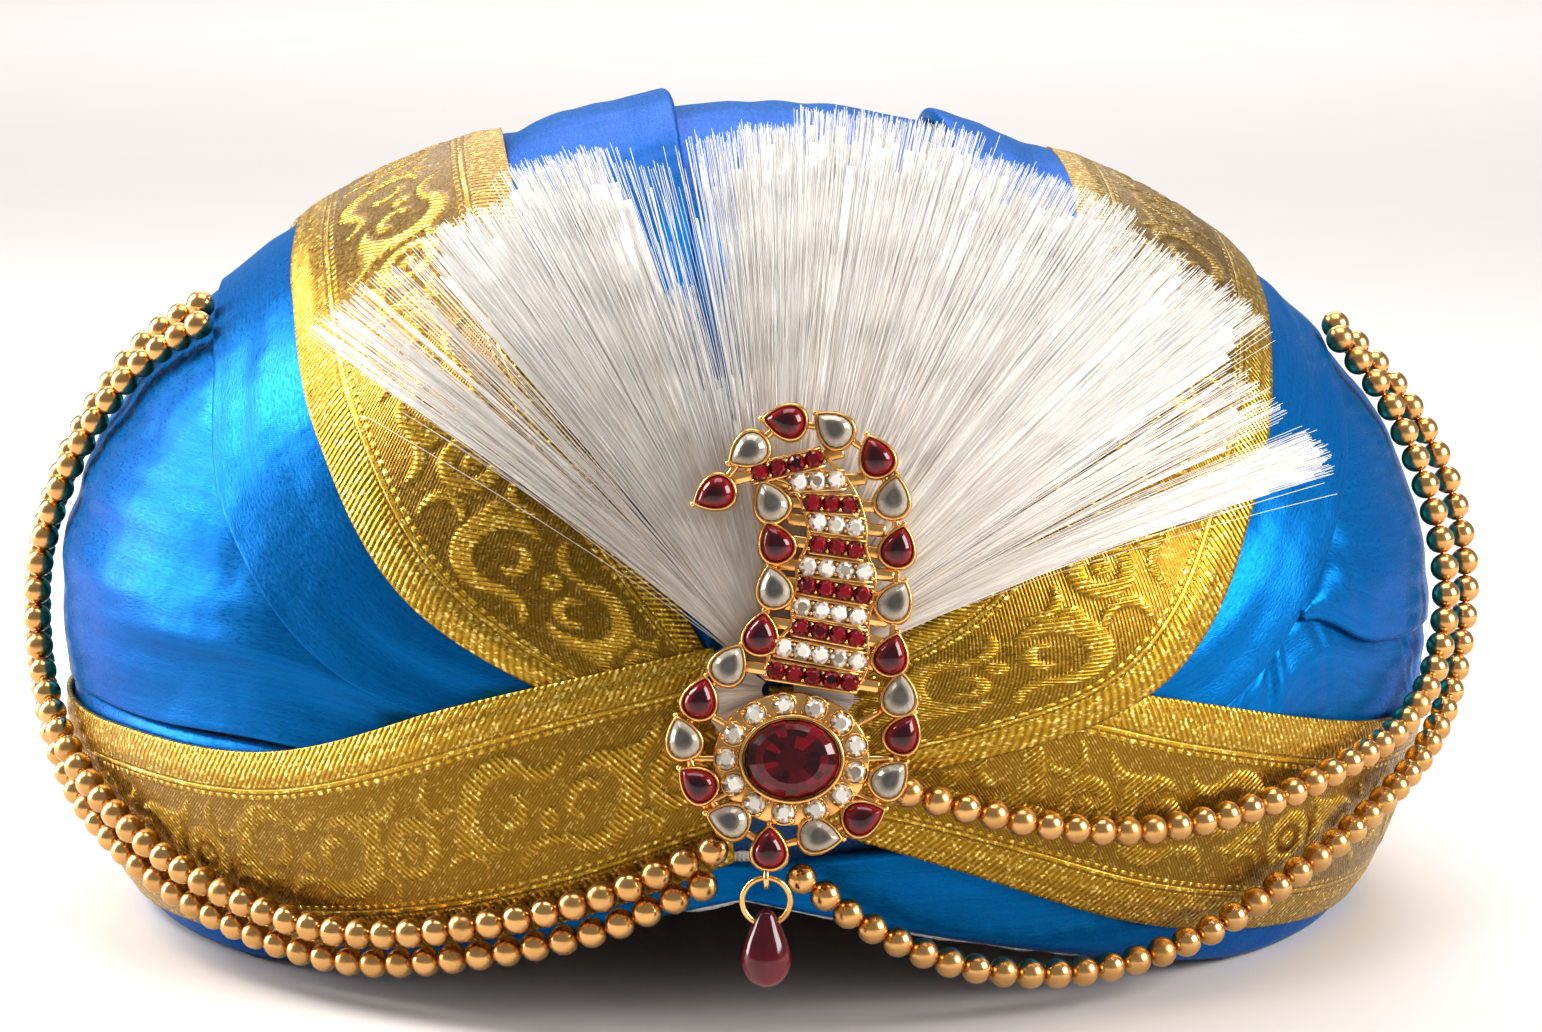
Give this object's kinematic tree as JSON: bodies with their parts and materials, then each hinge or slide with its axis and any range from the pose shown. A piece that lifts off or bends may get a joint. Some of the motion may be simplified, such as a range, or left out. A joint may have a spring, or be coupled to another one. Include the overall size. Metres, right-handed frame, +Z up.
{
  "type": "tied turban",
  "caption": "Ready-tied blue satin turban with crossed gold lace bands, swags of gold beads, a white fibre fan and a paisley brooch with a swinging red drop.",
  "frame": {"origin": "centre of the footprint box, on the surface that the rim rests on", "axes": "+X to the right of someone facing the brooch, +Y from the brooch to the nape, +Z up"},
  "size_m": [0.3149, 0.2846, 0.1743],
  "materials": {
    "padding": "plain cotton padding",
    "lining": "white cotton lining",
    "satin": "blue satin",
    "lace": "gold brocade lace",
    "bead": "polished copper gold plating",
    "fibre": "white synthetic fibre",
    "setting": "polished gold plating",
    "ruby": "red glass",
    "clear_stone": "foiled clear glass"
  },
  "bodies": {
    "turban": {"crown": "padding", "rim_lining": "lining", "base_wrap": "satin", "left_wrap_wide": "satin", "left_wrap_inner": "satin", "left_wrap_top": "satin", "centre_wrap": "satin", "right_wrap_top": "satin", "right_wrap_inner": "satin", "right_wrap_wide": "satin", "right_wrap_low": "satin", "left_loop_band": "lace", "right_loop_band": "lace", "left_brow_band": "lace", "right_brow_band": "lace", "left_upper_strand": "bead", "left_lower_strand": "bead", "right_upper_strand": "bead", "right_lower_strand": "bead", "plume": "fibre", "brooch_setting": "setting", "oval_stone": "ruby", "pear_stone_01": "ruby", "pear_stone_02": "clear_stone", "pear_stone_03": "ruby", "pear_stone_04": "clear_stone", "pear_stone_05": "ruby", "pear_stone_06": "clear_stone", "pear_stone_07": "ruby", "pear_stone_08": "clear_stone", "pear_stone_09": "ruby", "pear_stone_10": "clear_stone", "pear_stone_11": "ruby", "pear_stone_12": "clear_stone", "pear_stone_13": "ruby", "pear_stone_14": "clear_stone", "pear_stone_15": "ruby", "pear_stone_16": "clear_stone", "pear_stone_17": "ruby", "pear_stone_18": "clear_stone", "pear_stone_19": "ruby", "pear_stone_20": "clear_stone", "pear_stone_21": "ruby", "pear_stone_22": "clear_stone", "pear_stone_23": "ruby", "pear_stone_24": "clear_stone", "halo_stones": "clear_stone", "stone_row_01": "ruby", "stone_row_02": "clear_stone", "stone_row_03": "ruby", "stone_row_04": "clear_stone", "stone_row_05": "ruby", "stone_row_06": "clear_stone", "stone_row_07": "ruby", "stone_row_08": "clear_stone", "stone_row_09": "ruby", "stone_row_10": "clear_stone", "stone_row_11": "ruby"},
    "pendant": {"jump_ring": "setting", "drop_bead": "ruby"}
  },
  "joints": [
    {"name": "pendant_swing", "type": "hinge", "parent": "turban", "child": "pendant", "pos_m": [0.0034, -0.13758, 0.03639], "axis": [-1, 0, 0], "range_deg": [-25, 80]}
  ]
}
